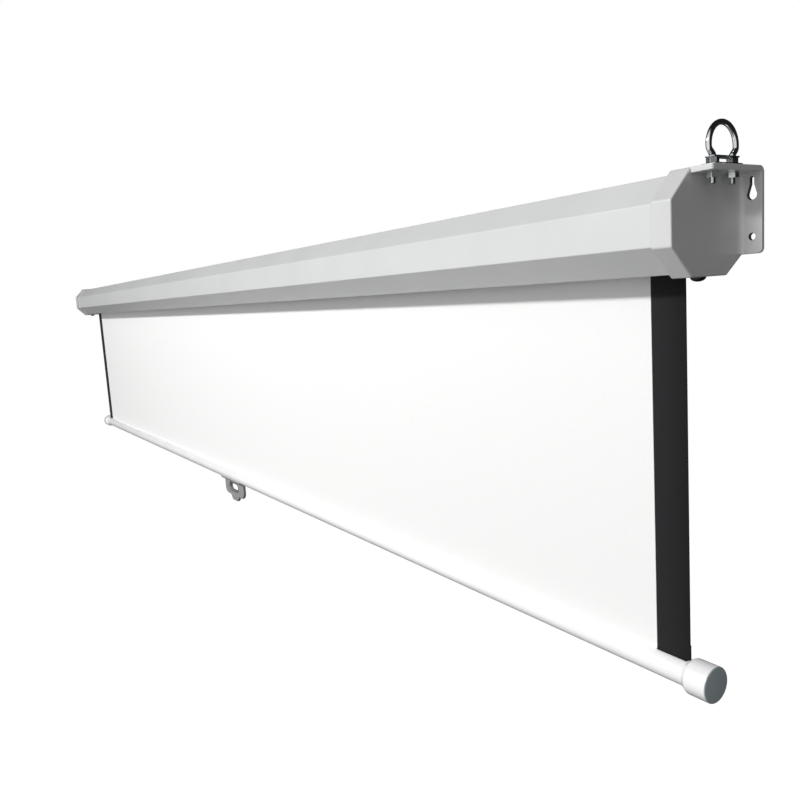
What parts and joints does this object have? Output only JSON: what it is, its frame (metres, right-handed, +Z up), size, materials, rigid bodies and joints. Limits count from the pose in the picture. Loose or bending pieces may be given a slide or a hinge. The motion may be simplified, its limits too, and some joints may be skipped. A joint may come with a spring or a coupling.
{
  "type": "pull down projector screen",
  "caption": "Manual roller projection screen in an eight-sided case with end brackets, a hanging loop at the right end, bordered fabric, tube bottom bar and pull handle.",
  "frame": {"origin": "on the wall plane, at the middle of the length and the height of the roller's axis", "axes": "+X along the case to the spring end, +Y back into the wall, +Z up"},
  "size_m": [2.196, 0.086, 0.5027],
  "materials": {
    "case_paint": "satin powder coat",
    "bracket_paint": "satin powder coat",
    "chrome": "polished",
    "zinc": "bright zinc plate",
    "black_steel": "black oxide",
    "steel": "plain turned steel",
    "spring_steel": "oiled spring wire",
    "screen_cloth": "matt white coated cloth with black borders",
    "bar_paint": "white powder coat",
    "white_plastic": "smooth moulded",
    "grey_plastic": "fine moulded grain",
    "dark_plastic": "moulded",
    "ivory_plastic": "moulded"
  },
  "bodies": {
    "case": {"case_shell": "case_paint", "bracket_right": "bracket_paint", "bracket_left": "bracket_paint", "hanging_loop_right": "chrome", "loop_base_plate_right": "zinc", "loop_strap_right": "zinc", "top_nut_front_right": "zinc", "low_nut_front_right": "zinc", "top_nut_rear_right": "zinc", "low_nut_rear_right": "zinc", "case_screw_right": "black_steel", "case_screw_left": "black_steel", "spindle": "steel", "ratchet": "steel", "spring_collar": "steel", "torsion_spring": "spring_steel", "idle_bush": "ivory_plastic"},
    "roller": {"roller_tube": "steel", "fabric_roll": "screen_cloth", "locking_head": "dark_plastic", "spring_anchor": "dark_plastic", "idle_plug": "dark_plastic", "idle_pin": "steel"},
    "upper_pawl": {"pawl_upper": "steel"},
    "lower_pawl": {"pawl_lower": "steel"},
    "bottom_bar": {"screen_fabric": "screen_cloth", "bar_tube": "bar_paint", "hem_spline": "ivory_plastic", "bar_cap_right": "white_plastic", "bar_cap_left": "white_plastic", "pull_handle": "grey_plastic", "handle_screw_right": "zinc", "handle_screw_left": "zinc"}
  },
  "joints": [
    {"name": "screen_drop", "type": "slide", "parent": "case", "child": "bottom_bar", "axis": [0, 0, -1], "range_m": [-0.318, 1.208], "deforming": ["screen_fabric"]},
    {"name": "roller_spin", "type": "hinge", "parent": "case", "child": "roller", "pos_m": [0, -0.051, 0], "axis": [-1, 0, 0], "range_deg": [-905, 3425]},
    {"name": "upper_pawl_swing", "type": "hinge", "parent": "roller", "child": "upper_pawl", "pos_m": [1.0567, -0.041, 0.008], "axis": [1, 0, 0], "range_deg": [-12, 10]},
    {"name": "lower_pawl_swing", "type": "hinge", "parent": "roller", "child": "lower_pawl", "pos_m": [1.0567, -0.061, -0.008], "axis": [1, 0, 0], "range_deg": [-12, 10]}
  ],
  "couplings": [
    {"joint": "roller_spin", "follows": "screen_drop", "rad_per_m": 49.4}
  ]
}
